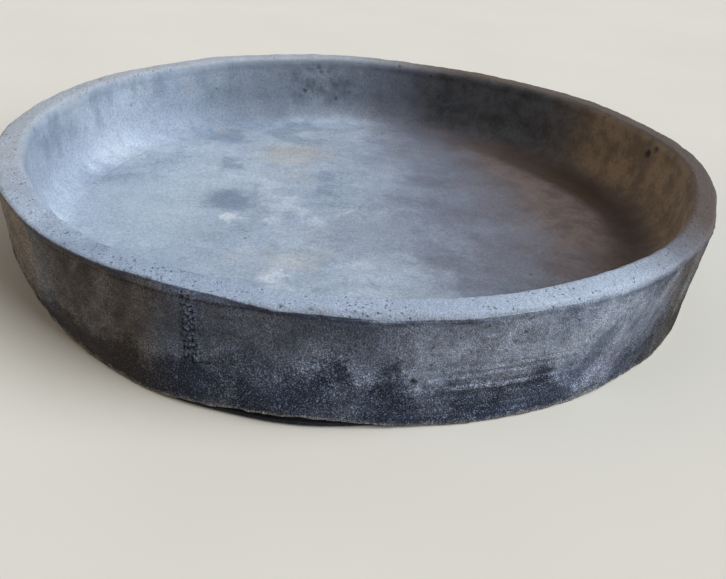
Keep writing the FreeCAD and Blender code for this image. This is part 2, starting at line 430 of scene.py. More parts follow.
def wall_relief(points):
    angle, span, height = cylindrical(points)
    lined = fractal(points * TROWEL_GRAIN, 1, 2, 5.0)
    trowel = lined * humps(angle, TROWEL_STRETCHES) * ease(height, *TROWEL_RISE)
    along = angle * wall_seat_radius
    rise, run_share = math.sin(STREAK_RISE), math.cos(STREAK_RISE)
    uphill = along * run_share + height * rise
    sideways = height * run_share - along * rise
    smears = fractal(np.stack([uphill, sideways, along], -1) * STREAK_GRAIN, 1, 4, 2.0)
    streak = smears * np.clip(humps(angle, STREAK_STRETCHES), 0, 1)
    seam = seam_relief(points)
    soil_and_shade_level = SOIL_AND_SHADE_LEAST + (1 - SOIL_AND_SHADE_LEAST) * window(angle, *SOIL_AND_SHADE_FULL)
    out = layers(points, WALL_LAYERS) + SEAM_SIZE * seam + TROWEL_SIZE * trowel + STREAK_SIZE * streak
    low = height < ledge_height + DOWNWARD_MARGIN
    downward = low & (span < wall_outer(ledge_height) - DOWNWARD_MARGIN)
    tide = TIDE_LEVEL + humps(angle, TIDE_HUMPS) + TIDE_WANDER * fractal(points * PLAN, *TIDE_NOISE)
    return out, {
        "tide": tide - height / MM,
        "streak": streak,
        "trowel": trowel,
        # Faces that look down take full damp and the seam's darkest: painted shade under the foot
        "seam": np.where(downward, DOWNWARD_SHADE_SEAM, seam),
        "foot": np.where(downward, DOWNWARD_SHADE_DAMP, (height - ledge_height) / MM),
        # Browner on the right and on the left: soiling, partly painted shade and warm bounced light
        "earthy": np.maximum(soil_and_shade_level * earthy(points, *WALL_SOIL_AND_SHADE), windows(angle, WALL_WARM_SHADE)),
        # Dark: painted shade under the rim's lip and low on the wall's left front
        "dark": np.maximum(
            windows(angle, PAINTED_SHADE_UNDER_RIM) * ease(height, *UNDER_RIM_RISE),
            windows(angle, PAINTED_SHADE_LOWER) * ease(height, *LOWER_RISE)),
        "pale": windows(angle, PALE_WALL) * ease(height, *PALE_RISE),
        "sandy": windows(angle, SANDY_WALL),
    }


# Depths over which the rim's outer face takes the wall's relief and its inner face the lining's
OUTER_FACE_FADE = (1 * MM, 4 * MM)
INNER_FACE_FADE = (2 * MM, 8 * MM)
INNER_FACE_MARGIN = 1 * MM
# Millimetres of wear at the outer corner, everywhere, where soft and by noise, and of the crease below it
CORNER_WEAR, CORNER_WEAR_SOFT, CORNER_WEAR_UNEVEN = 0.15, 1.5, 0.35
CORNER_NOISE = (50, 3, 25.0)
CORNER_WIDTH = 4.5 * MM
CREASE_DEPTH = 0.8
CREASE_WIDTH = 1.0 * MM
# How much a step across counts as a step down, at the outer and the inner edge
OUTER_LEAN, INNER_LEAN = 0.6, 0.4
# Millimetres down the edge: the top's blend, the painted shadow line's place and width, and what softness
# adds
TOP_BLEND, TOP_BLEND_SOFT = 0.7, 3.0
LINE_PLACE, LINE_PLACE_SOFT = 1.4, 1.5
LINE_WIDTH, LINE_WIDTH_SOFT = 0.9, 1.0
LINE_FADED_SOFT = 0.4
INWARD_BLEND = (0.8, 5.5)


def rim_relief(points):
    """The coping's relief runs into the wall's on its outer face and into the lining's on its inner face."""
    angle, span, height = cylindrical(points)
    below = bowl_height - height
    soft = np.clip(humps(angle, SOFT_STRETCHES), 0, 1)
    wall_out, fields = wall_relief(points)
    outer_face = ease(span, rim_middle, rim_outer - RIM_OUTER_ROUND) * ease(below, *OUTER_FACE_FADE)
    to_corner = np.hypot(rim_outer - span, below)
    wear = CORNER_WEAR + CORNER_WEAR_SOFT * soft + CORNER_WEAR_UNEVEN * fractal(points * PLAN, *CORNER_NOISE)
    cut = wear * bell(to_corner, 0, CORNER_WIDTH)
    crease = CREASE_DEPTH * (1 - windows(angle, FLUSH_STRETCHES)) * outer_face
    crease *= bell(below, LIP_HEIGHT, CREASE_WIDTH)
    rim_out = layers(points, RIM_LAYERS)
    lining_out, _ = lining_relief(points)
    inner_face = ease(span, rim_middle, rim_inner + INNER_FACE_MARGIN) * ease(below, *INNER_FACE_FADE)
    out = rim_out + (wall_out - rim_out) * outer_face + (lining_out - rim_out) * inner_face
    out -= (cut + crease) * MM
    down_edge = (below + OUTER_LEAN * (span - rim_outer)) / MM
    reach = TOP_REACH - sum(size * window(angle, *stretch) for *stretch, size in TOP_SHORT)
    outer = span > rim_middle
    outward = outer * ease(down_edge, reach - TOP_BLEND, reach + TOP_BLEND + TOP_BLEND_SOFT * soft)
    # A thin line of painted shadow below the outer edge, where the lip's crease casts it
    line = bell(down_edge, reach + LINE_PLACE + LINE_PLACE_SOFT * soft, LINE_WIDTH + LINE_WIDTH_SOFT * soft)
    edge_line = outer * line * (1 - LINE_FADED_SOFT * soft)
    over_edge = (below + INNER_LEAN * np.maximum(rim_inner + RIM_INNER_ROUND - span, 0)) / MM
    inward = (span < rim_middle) * ease(over_edge, *INWARD_BLEND)
    inside = lining_fields(points)
    # The rim's soiling and painted shade: its own on top, the wall's on its outer face, the lining's on its
    # inner face
    outer_soil_and_shade = earthy(points, *RIM_SOIL_AND_SHADE)
    outer_soil_and_shade += (fields["earthy"] - outer_soil_and_shade) * outward
    inside["earthy"] = outer_soil_and_shade + (inside["earthy"] - outer_soil_and_shade) * inward
    for field, table in (("pale", PALE_RIM), ("sandy", SANDY_RIM)):
        on_top = windows(angle, table)
        fields[field] = on_top + (fields[field] - on_top) * outward
    return out, {**fields, **inside, "outward": outward, "inward": inward, "edge_line": edge_line,
                 "pitted": humps(angle, RIM_PITTED)}


# Band along the cove, stained and darkened partly as painted shade in the corner: spans and angles over which
# it sets in, and how far it spreads over the floor
BAND_BEGINS = (floor_radius - 18 * MM, floor_radius - 4 * MM)
BAND_ENDS = (floor_radius + 22 * MM, floor_radius + 4 * MM)
BAND_SETS_IN = (math.radians(-30), math.radians(-5))
BAND_PLACE = (20, 40)
BAND_SPREAD = 9 * MM
BAND_SPREAD_PLACE = (38, 18)
# Where the inside of the wall is painted dark, partly as weathering and partly as shade
WEATHERING_AND_SHADE = ((58, 110, 36, 0.48), (40, 68, 13, 0.62))
WEATHERING_AND_SHADE_BEGINS = (floor_radius + 5 * MM, floor_radius + 19 * MM)


def lining_fields(points):
    """Shares of the inside's staining and painted shade: a dark band along the cove, brownish soiling and a
    back wall darkened by weathering, each partly painted shade.
    """
    angle, span, _ = cylindrical(points)
    spread = BAND_SPREAD * hump(angle, *BAND_SPREAD_PLACE)
    toe_band = ease(span + spread, *BAND_BEGINS) * ease(span, *BAND_ENDS)
    band = toe_band * ease(angle, *BAND_SETS_IN) * hump(angle, *BAND_PLACE)
    weathered = ease(span, *WEATHERING_AND_SHADE_BEGINS) * windows(angle, WEATHERING_AND_SHADE)
    return {"stain": band, "weathered": weathered, "earthy": earthy(points, *LINING_SOIL_AND_SHADE)}


# Torn render at the back, and the joint at the cove's toe
TORN_PLACE = (101, 9)
TORN_RISE = (22 * MM, 36 * MM)
TORN_NOISE = (95, 4, 17.0)
TORN_SIZE = 0.55 * MM
TORN_MARK_LEVEL = 0.35
TOE_PLACE = (162, 12)
TOE_WIDTH = 1.2 * MM
TOE_DEPTH = 0.15 * MM
TOE_MARK_SHARE = 0.25


def lining_relief(points):
    angle, span, height = cylindrical(points)
    torn = hump(angle, *TORN_PLACE) * ease(height, *TORN_RISE)
    torn_out = fractal(points, *TORN_NOISE)
    toe = bell(span, floor_radius, TOE_WIDTH) * hump(angle, *TOE_PLACE)
    out = layers(points, LINING_LAYERS) + TORN_SIZE * torn * torn_out - TOE_DEPTH * toe
    marks = np.clip(torn * (TORN_MARK_LEVEL - torn_out), 0, 1) + TOE_MARK_SHARE * toe
    return out, {"marks": marks, **lining_fields(points)}


SLAB_ROUGHNESS = 0.12 * MM
SLAB_NOISE = (60, 3, 21.0)


def slab_relief(points):
    # The slab's edge is painted near black, as damp and as the shade in the gap under the wall's foot
    everywhere = np.ones(len(points))
    damp = DOWNWARD_SHADE_DAMP * everywhere
    fields = {"tide": damp, "foot": damp, "seam": DOWNWARD_SHADE_SEAM * everywhere}
    return -SLAB_ROUGHNESS * (1 + fractal(points, *SLAB_NOISE)), fields


# Foot of the wall's outer face, off the ground at the left front and ragged all round, in millimetres
FOOT_DROP = -2.4
FOOT_RAISED = ((-95, 9.5, 5.8), (-106, 7, 1.8), (30, 20, 1.8), (150, 14, 2.2))
FOOT_RAGGED = 1.1
FOOT_NOISE = (70, 4, 15.0)
# How far up and how far inward the foot's shift reaches, and its lowest height
FOOT_SHIFT_RISE = 9 * MM
FOOT_SHIFT_DEPTH = 1.5 * MM
FOOT_LOWEST = 0.15 * MM


def ragged_foot(points):
    angle, span, height = cylindrical(points)
    raised = humps(angle, FOOT_RAISED)
    shift = (FOOT_DROP + raised + FOOT_RAGGED * fractal(points * PLAN, *FOOT_NOISE)) * MM
    low = ease(height, ledge_height + FOOT_SHIFT_RISE, ledge_height)
    outer = ease(span, foot_radius, foot_radius + FOOT_SHIFT_DEPTH)
    moved = points.copy()
    moved[:, 2] = np.maximum(height + shift * low * outer, FOOT_LOWEST)
    return moved


# Where the slab's edge swells out under the wall
SLAB_SWOLLEN = ((-114, -88, 8, 1.0),)
SLAB_SWELL = 2.0 * MM
SLAB_SWELL_DEPTH = 4 * MM


def swollen_slab(points):
    angle, span, height = cylindrical(points)
    edge = ease(span, foot_radius - SLAB_SWELL_DEPTH, foot_radius - FOOT_CHAMFER)
    edge = edge * ease(height, slab_height, ledge_height)
    return from_polar(angle, span + SLAB_SWELL * windows(angle, SLAB_SWOLLEN) * edge, height)


# How far inside the wall's face the lip starts to be drawn back
LIP_DEPTH = 2 * MM


def flush_lip(points):
    """Draws the coping's lip back to the wall's face where it has no overhang."""
    angle, span, height = cylindrical(points)
    lip = ease(span, wall_seat_radius - LIP_DEPTH, rim_outer)
    lip = lip * ease(height, lip_bottom, lip_bottom + OVERHANG_RISE)
    return from_polar(angle, span - lip_overhang * windows(angle, FLUSH_STRETCHES) * lip, height)


# Section outlines

def run(start, end, step):
    """Points from start towards end, without end."""
    count = max(1, round(float(np.linalg.norm(end - start)) / step))
    shares = np.arange(count)[:, None] / count
    return start + (end - start) * shares


def turn(centre, radius, start_degrees, end_degrees, step):
    sweep = math.radians(end_degrees - start_degrees)
    count = max(2, round(abs(sweep) * radius / step))
    around = math.radians(start_degrees) + sweep * np.arange(count) / count
    return np.stack([centre[0] + radius * np.cos(around), centre[1] + radius * np.sin(around)], -1)


def section(*stretches):
    """One closed outline from (corner or arc, step, shown) stretches, each running on to the next.
    Returns its points, their outward normals, which points are displaced and which faces show."""
    starts = [np.atleast_2d(start) for start, _, _ in stretches]
    parts = [start if len(start) > 1 else run(start[0], after[0], step)
             for start, after, (_, step, _) in zip(starts, starts[1:] + starts[:1], stretches)]
    points = np.vstack(parts)
    shown = np.concatenate([np.full(len(part), flag) for part, (_, _, flag) in zip(parts, stretches)])
    first_after = np.roll(shown, 1) & ~shown
    entering = shown & ~np.roll(shown, 1)
    behind, ahead = points - np.roll(points, 1, 0), np.roll(points, -1, 0) - points
    along = np.roll(points, -1, 0) - np.roll(points, 1, 0)
    along = np.where(first_after[:, None], behind, along)
    along = np.where(entering[:, None], ahead, along)
    normals = np.stack([along[:, 1], -along[:, 0]], -1)
    normals /= np.linalg.norm(normals, axis=1, keepdims=True)
    return points, normals, shown | first_after, shown


# Meshes

def add_mesh(name, points, faces, hidden_faces, fields, reshape):
    """A mesh object in its last shape, with smooth visible faces, flat hidden ones and its fields."""
    points = bend_form(reshape(points) if reshape else points)
    mesh = bpy.data.meshes.new(name)
    mesh.from_pydata(points.tolist(), [], faces)
    mesh.attributes.new("sharp_face", "BOOLEAN", "FACE").data.foreach_set("value", hidden_faces)
    for field, values in fields.items():
        padded = np.pad(values, (0, len(points) - len(values)), mode="edge").astype(np.float32)
        mesh.attributes.new(field, "FLOAT", "POINT").data.foreach_set("value", padded)
    mesh.update()
    piece = bpy.data.objects.new(name, mesh)
    bpy.context.collection.objects.link(piece)
    return piece


HOLLOW_DEPTH = 1.3 * MM
WHOLE_TURN = 2 * math.pi


def dress(points, normals, weights, relief, pits):
    """Displaces points along their normals where weights say so, and returns the fields for the material."""
    out, fields = relief(points)
    depths = pit_depths(points, pits)
    moved = points + normals * ((out - depths) * weights)[:, None]
    # pit_shade: how deep a point lies in a pit, by which the materials paint pits dark as shade
    return moved, {"pit_shade": np.clip(depths / HOLLOW_DEPTH, 0, 1), **fields}


def lathe(name, outline, relief, pits, steps, start=0.0, sweep=WHOLE_TURN, reshape=None):
    """Turns a closed section about the axis. A part turn gets flat ends."""
    profile, flat_normals, moves, shown = outline
    whole = sweep >= WHOLE_TURN
    columns = steps if whole else steps + 1
    around = start + sweep * np.arange(columns) / steps
    radial = np.stack([np.cos(around), np.sin(around), np.zeros(columns)], -1)
    up = np.array([0.0, 0.0, 1.0])
    points = radial[:, None] * profile[None, :, :1] + up * profile[None, :, 1:]
    normals = radial[:, None] * flat_normals[None, :, :1] + up * flat_normals[None, :, 1:]
    rows = len(profile)
    weights = np.tile(moves.astype(float), columns)
    points, fields = dress(points.reshape(-1, 3), normals.reshape(-1, 3), weights, relief, pits)
    column = np.arange(columns if whole else columns - 1)[:, None]
    row = np.arange(rows)[None, :]
    next_column = (column + 1) % columns
    next_row = (row + 1) % rows
    corners = (column * rows + row, next_column * rows + row,
               next_column * rows + next_row, column * rows + next_row)
    quads = np.stack([np.broadcast_to(corner, (len(column), rows)) for corner in corners], -1)
    faces = quads.reshape(-1, 4).tolist()
    hidden = np.tile(~shown, len(column)).tolist()
    if not whole:
        faces.append(list(range(rows)))
        faces.append(list(range((columns - 1) * rows, columns * rows))[::-1])
        hidden += [True, True]
    return add_mesh(name, points, faces, hidden, fields, reshape)


def disc_grid(radius, cells):
    """A square grid bent into a disc. Returns its points, its quads and the loop of its edge."""
    line = np.linspace(-1, 1, cells + 1)
    across, along = np.meshgrid(line, line, indexing="ij")
    wide = np.abs(across) > np.abs(along)
    safe_across = np.where(across == 0, 1, across)
    safe_along = np.where(along == 0, 1, along)
    eighth = math.pi / 4
    around = np.where(wide, eighth * along / safe_across, 2 * eighth - eighth * across / safe_along)
    span = np.where(wide, across, along) * radius
    points = np.stack([span * np.cos(around), span * np.sin(around)], -1).reshape(-1, 2)
    index = np.arange((cells + 1) ** 2).reshape(cells + 1, cells + 1)
    quads = np.stack([index[:-1, :-1], index[1:, :-1], index[1:, 1:], index[:-1, 1:]], -1).reshape(-1, 4)
    rim = np.concatenate([index[:-1, 0], index[-1, :-1], index[1:, -1][::-1], index[0, 1:][::-1]])
    return points, quads, rim


def disc(name, cells, face_radius, face_height, edge, relief, pits, upward, reshape=None):
    """A round slab whose face is a fine grid. edge lists rings to its back: radius, height, strip shown."""
    flat, quads, rim = disc_grid(face_radius, cells)
    face = np.column_stack([flat, np.full(len(flat), face_height)])
    normals = np.tile([0.0, 0.0, 1.0 if upward else -1.0], (len(face), 1))
    points, fields = dress(face, normals, np.ones(len(face)), relief, pits)
    around = np.arctan2(flat[rim, 1], flat[rim, 0])
    rings = [rim]
    stack = [points]
    total = len(points)
    for radius, height, _ in edge:
        stack.append(from_polar(around, radius, np.full(len(rim), height)))
        rings.append(np.arange(total, total + len(rim)))
        total += len(rim)
    stack.append(np.array([[0.0, 0.0, edge[-1][1]]]))
    faces = quads.tolist()
    hidden = [False] * len(faces)
    for upper, lower, (_, _, seen) in zip(rings, rings[1:], edge):
        strip = np.stack([upper, lower, np.roll(lower, -1), np.roll(upper, -1)], -1)
        faces += strip.tolist()
        hidden += [not seen] * len(strip)
    last = rings[-1]
    faces += np.stack([last, np.full(len(last), total), np.roll(last, -1)], -1).tolist()
    hidden += [True] * len(last)
    if not upward:
        faces = [corners[::-1] for corners in faces]
    return add_mesh(name, np.vstack(stack), faces, hidden, fields, reshape)


# Pieces

def wall_section(step):
    return section(
        ((wall_outer(ledge_height), ledge_height), step, True),
        ((wall_outer(seat_height), seat_height), HIDDEN_STEP, False),
        ((wall_inner(seat_height), seat_height), BACK_STEP, False),
        ((wall_inner(ledge_height), ledge_height), HIDDEN_STEP, False),
        ((foot_radius, ledge_height), UNDERSIDE_STEP, False),
    )


def rim_section():
    outer_centre = (rim_outer - RIM_OUTER_ROUND, bowl_height - RIM_OUTER_ROUND)
    inner_centre = (rim_inner + RIM_INNER_ROUND, bowl_height - RIM_INNER_ROUND)
    return section(
        ((wall_seat_radius, seat_height), RIM_STEP, True),
        ((wall_outer(lip_bottom), lip_bottom), RIM_STEP, True),
        ((rim_outer, lip_bottom + OVERHANG_RISE), RIM_STEP, True),
        (turn(outer_centre, RIM_OUTER_ROUND, 0, 90, RIM_STEP), RIM_STEP, True),
        ((outer_centre[0], bowl_height), RIM_STEP, True),
        (turn(inner_centre, RIM_INNER_ROUND, 90, 180, RIM_STEP), RIM_STEP, True),
        ((rim_inner, inner_centre[1]), RIM_STEP, True),
        ((rim_inner, seat_height), HIDDEN_STEP, False),
    )


def render_section():
    return section(
        ((lining_inner(seat_height), seat_height), LINING_STEP, True),
        ((lining_inner(cove_top), cove_top), HIDDEN_STEP, False),
        ((wall_inner(cove_top), cove_top), HIDDEN_STEP, False),
        ((wall_inner(seat_height), seat_height), HIDDEN_STEP, False),
    )


def cove_section():
    centre = (floor_radius, floor_height + cove_radius)
    face_degrees = -math.degrees(math.atan(wall_slope))
    return section(
        (turn(centre, cove_radius, face_degrees, -90, LINING_STEP), LINING_STEP, True),
        ((floor_radius, floor_height), HIDDEN_STEP, False),
        ((floor_radius, slab_height), HIDDEN_STEP, False),
        ((wall_inner(slab_height), slab_height), HIDDEN_STEP, False),
        ((wall_inner(cove_top), cove_top), HIDDEN_STEP, False),
    )


seam_half_turn = SEAM_HALF_WIDTH / wall_seat_radius
wall_band = lathe(
    "wall_band_hand_laid", wall_section(WALL_STEP), wall_relief, wall_pits, RING_STEPS,
    SEAM_ANGLE + seam_half_turn, WHOLE_TURN - 2 * seam_half_turn, ragged_foot)
seam_fill = lathe(
    "wall_seam_mortar", wall_section(SEAM_STEP), wall_relief, wall_pits, SEAM_STEPS,
    SEAM_ANGLE - seam_half_turn, 2 * seam_half_turn, ragged_foot)
coping = lathe(
    "rim_coping_cast", rim_section(), rim_relief, rim_pits + edge_pits, RING_STEPS, reshape=flush_lip)
inside_pits = lining_pits + edge_pits
render_coat = lathe("inner_render_coat", render_section(), lining_relief, inside_pits, LINING_STEPS)
cove = lathe("inner_cove_fillet", cove_section(), lining_relief, inside_pits, LINING_STEPS)
screed = disc(
    "floor_screed_trowelled", FLOOR_CELLS, floor_radius, floor_height, [(floor_radius, slab_height, False)],
    lining_relief, lining_pits, True)
slab_edge = [(foot_radius, FOOT_CHAMFER, True), (foot_radius, ledge_height, True),
             (wall_foot_inner, ledge_height, False), (wall_foot_inner, slab_height, False)]
slab = disc(
    "base_slab_cast", SLAB_CELLS, foot_radius - FOOT_CHAMFER, 0.0, slab_edge,
    slab_relief, [], False, swollen_slab)


# Materials

# Places of the colour sockets on a mix node
MIX_FIRST, MIX_SECOND, MIX_RESULT = 6, 7, 2
SPECULAR = 0.25
SPOT_NOISE = (5.0, 0.6)
PINHOLE_CORE_SHARE = 0.4


def tone(red, green, blue):
    """A colour as the eye reads it on a screen, 0 to 255, as linear values."""
    parts = [value / 255 for value in (red, green, blue)]
    linear = [part / 12.92 if part <= 0.04045 else ((part + 0.055) / 1.055) ** 2.4 for part in parts]
    return (*linear, 1.0)


class Tree:
    """Short names for the nodes of one material."""

    def __init__(self, name):
        self.material = bpy.data.materials.new(name)
        self.material.use_nodes = True
        self.nodes = self.material.node_tree.nodes
        self.links = self.material.node_tree.links
        self.shader = self.nodes["Principled BSDF"]
        self.place = self.nodes.new("ShaderNodeTexCoord").outputs["Object"]

    def feed(self, socket, value):
        if isinstance(value, bpy.types.NodeSocket):
            self.links.new(value, socket)
        else:
            socket.default_value = value

    def node(self, kind, output, inputs, **settings):
        """One output of a new node, with its settings and with its inputs by name or number."""
        made = self.nodes.new("ShaderNode" + kind)
        for setting, value in settings.items():
            setattr(made, setting, value)
        for socket, value in inputs.items():
            self.feed(made.inputs[socket], value)
        return made.outputs[output]

    def math(self, operation, first, second=0.0, third=0.0):
        return self.node("Math", 0, {0: first, 1: second, 2: third}, operation=operation)

    def plus(self, first, second):
        return self.math("ADD", first, second)

    def times(self, first, second):
        return self.math("MULTIPLY", first, second)

    def vector(self, operation, first, second, output="Vector"):
        return self.node("VectorMath", output, {0: first, 1: second}, operation=operation)

    def noise(self, scale, detail=4.0, rough=0.55, shift=0.0, place=None):
        """Noise of features per metre, detail, roughness and a shift in metres."""
        if shift:
            place = self.vector("ADD", self.place, (shift, shift, shift))
        inputs = {"Vector": place or self.place, "Scale": scale, "Detail": detail, "Roughness": rough}
        return self.node("TexNoise", "Fac", inputs)

    def ragged(self, value, size, *noise_settings):
        """A value plus noise that swings about zero, by about a third of size either way."""
        return self.plus(value, self.math("MULTIPLY_ADD", self.noise(*noise_settings), size, -size / 2))

    def stretched(self, *scales):
        return self.vector("MULTIPLY", self.place, scales)

    def between(self, value, low, high, start=0.0, end=1.0):
        """Maps low..high smoothly to start..end, and holds the ends."""
        inputs = {"Value": value, "From Min": low, "From Max": high, "To Min": start, "To Max": end}
        return self.node("MapRange", "Result", inputs, interpolation_type="SMOOTHSTEP")

    def scaled(self, colour, factor):
        return self.node("VectorMath", "Vector", {"Vector": colour, "Scale": factor}, operation="SCALE")

    def varied(self, colour, value, low, high, darkest, lightest):
        """A colour made darker where a value is low and lighter where it is high."""
        return self.scaled(colour, self.between(value, low, high, darkest, lightest))

    def mix(self, share, first, second):
        inputs = {"Factor": share, MIX_FIRST: first, MIX_SECOND: second}
        return self.node("Mix", MIX_RESULT, inputs, data_type="RGBA")

    def layer(self, colour, value, low, high, share, shade):
        """A shade over a colour, from nothing where a value is low to its share where it is high."""
        return self.mix(self.between(value, low, high, 0.0, share), colour, shade)

    def tinted(self, colour, field, share, shade):
        """A shade over a colour, by a field times a share."""
        return self.mix(self.times(self.field(field), share), colour, shade)

    def field(self, name):
        return self.node("Attribute", "Fac", {}, attribute_name=name)

    def height(self):
        return self.node("SeparateXYZ", "Z", {0: self.place})

    def spot(self, centre, inner, outer, uneven, scale):
        """1 within inner of a place, 0 past outer. uneven metres of noise break up its edge."""
        away = self.vector("DISTANCE", self.place, centre, "Value")
        away = self.ragged(away, uneven, scale, *SPOT_NOISE)
        return self.between(away, inner, outer, 1.0, 0.0)

    def pinholes(self, scale, share, size):
        """Dark round specks, painted as the shade inside pinholes: one in each of a share of random cells."""
        away = self.node("TexVoronoi", "Distance", {"Vector": self.place, "Scale": scale})
        chance = self.node("SeparateColor", 0, {0: away.node.outputs["Color"]})
        hole = self.between(away, size * PINHOLE_CORE_SHARE, size, 1.0, 0.0)
        return self.times(self.math("LESS_THAN", chance, share), hole)

    def bump(self, height, distance, strength=1.0):
        return self.node("Bump", "Normal", {"Height": height, "Distance": distance, "Strength": strength})

    def finish(self, colour, roughness, normal):
        looks = (("Base Color", colour), ("Roughness", roughness), ("Normal", normal),
                 ("Specular IOR Level", SPECULAR))
        for socket, value in looks:
            self.feed(self.shader.inputs[socket], value)
        return self.material


# Grains of sand as noise, the part of its range that counts, and how far the grains stand out
SAND_GRIT = (1250, 2.0, 0.75)
LINING_GRIT = (600, 3.0, 0.6)
GRIT_RANGE = (0.28, 0.72)
GLOSS_RANGE = (0.2, 0.8)
WALL_BUMP = 1.3 * MM
RIM_BUMP = 0.45 * MM
LINING_BUMP = 0.16 * MM
WIRE_BUMP, WIRE_BUMP_SHARE = 0.05 * MM, 0.4


def wall_colour(tree):
    """Grey sandy cement, as it is above the damp foot: patches, dabs, painted shade, and a browner patch that
    is partly soiling and partly painted shade with warm bounced light.
    """
    colour = tree.layer(tone(110, 121, 144), tree.noise(22, 5.0, 0.6), 0.34, 0.66, 1.0, tone(153, 165, 187))
    colour = tree.layer(colour, tree.noise(10, 3.0, 0.5, 4.0), 0.45, 0.68, 0.4, tone(126, 122, 130))
    colour = tree.tinted(colour, "pale", 0.4, tone(170, 180, 198))
    colour = tree.tinted(colour, "sandy", 0.6, tone(142, 127, 102))
    # Darker and bluer as painted shade, under the rim's lip and low on the left front
    colour = tree.tinted(colour, "dark", 0.7, tone(60, 66, 82))
    # Browner on the right and left: soiling, partly painted shade with warm bounced light
    stain = tree.ragged(tree.field("earthy"), 0.8, 30, 5.0, 0.65, 21.0)
    brown_soil_and_shade = tree.layer(tone(70, 64, 57), tree.noise(46, 5.0, 0.66, 24.0), 0.38, 0.62, 1.0, tone(96, 89, 80))
    colour = tree.layer(colour, stain, 0.1, 0.95, 0.92, brown_soil_and_shade)
    colour = tree.varied(colour, tree.noise(95, 4.0, 0.65, 7.0), 0.3, 0.7, 0.76, 1.24)
    return tree.varied(colour, tree.noise(430, 3.0, 0.7, 17.0), 0.32, 0.68, 0.82, 1.18)


def rim_colour_and_top_light(tree):
    # The top is painted lighter and bluer than the wall, partly as the light on its upward face
    colour = tree.layer(tone(158, 171, 193), tree.noise(28, 5.0, 0.6), 0.34, 0.66, 1.0, tone(178, 191, 212))
    colour = tree.layer(colour, tree.noise(80, 4.0, 0.6, 2.0), 0.5, 0.68, 0.4, tone(134, 146, 167))
    colour = tree.tinted(colour, "pale", 0.5, tone(195, 207, 227))
    colour = tree.tinted(colour, "sandy", 0.45, tone(180, 178, 174))
    # Darker and bluer by the wall's painted-shade field
    colour = tree.tinted(colour, "dark", 0.22, tone(104, 122, 156))
    # Browner on the right: soiling, partly painted shade with warm bounced light
    return tree.layer(colour, tree.field("earthy"), 0.0, 1.0, 0.95, tone(91, 77, 67))


# Patches on the floor: x, y, full and faded radius in millimetres, ragged edge, colour, share
FLOOR_PATCHES = (
    (-145, -30, 35, 90, 50, tone(186, 199, 214), 0.6),
    (-93, 0, 8, 27, 30, tone(110, 124, 148), 0.7),
    (20, -40, 20, 70, 60, tone(128, 136, 152), 0.6),
    (62, -72, 6, 30, 34, tone(104, 110, 126), 0.6),
    (-88, -29, 3, 11, 26, tone(216, 221, 230), 0.75),
    (-49, -111, 4, 13, 32, tone(208, 214, 226), 0.75),
    (-60, 105, 8, 40, 40, tone(182, 180, 176), 0.6),
    (138, -72, 4, 18, 24, tone(70, 69, 79), 0.8),
    (25, 105, 20, 75, 60, tone(130, 142, 162), 0.45),
)
PATCH_GRAIN = 110
# Heights over which the inside changes: its mottling, its painted level of light, its smudges and its
# soiling, lighter up the wall as painted warm bounced light
MOTTLED_RISE = (floor_height + 1 * MM, floor_height + 12 * MM)
LEVEL_RISE = (floor_height + 2 * MM, floor_height + 18 * MM)
SMUDGED_RISE = (cove_top - 8 * MM, cove_top + 8 * MM)
SOIL_RISE = (floor_height + 2 * MM, floor_height + 14 * MM)


def lining_colour(tree):
    """Trowelled cement: soft clouds, pale blooms and darker blotches, plainer up the wall."""
    height = tree.height()
    mottled = tree.between(height, *MOTTLED_RISE, 1.0, 0.3)
    blotches = tree.noise(25, 4.0, 0.57, 6.0)
    pale = tree.times(mottled, tree.between(blotches, 0.52, 0.66, 0.0, 0.65))
    dark = tree.times(mottled, tree.between(blotches, 0.48, 0.34, 0.0, 0.55))
    colour = tree.layer(tone(152, 165, 184), tree.noise(8, 3.0, 0.5), 0.36, 0.64, 1.0, tone(176, 188, 205))
    colour = tree.mix(pale, colour, tone(194, 203, 216))
    colour = tree.mix(dark, colour, tone(122, 134, 155))
    colour = tree.layer(colour, tree.noise(17, 4.0, 0.6, 9.0), 0.55, 0.7, 0.35, tone(180, 177, 174))
    strokes = tree.noise(75, 5.0, 0.7, place=tree.stretched(0.7, 1.0, 1.0))
    shading = tree.times(mottled, tree.between(strokes, 0.3, 0.7, -0.08, 0.08))
    # The inside's walls are painted darker than its floor, as shade
    colour = tree.scaled(colour, tree.plus(tree.between(height, *LEVEL_RISE, 1.0, 0.84), shading))
    colour = tree.layer(colour, tree.noise(110, 4.0, 0.65, 1.0), 0.46, 0.3, 0.3, tone(112, 120, 136))
    smudges = tree.between(tree.noise(1, 5.0, 0.62, place=tree.stretched(34, 34, 22)), 0.48, 0.7, 0.0, 0.5)
    smudges = tree.times(smudges, tree.between(height, *SMUDGED_RISE))
    return tree.mix(smudges, colour, tone(104, 114, 133))


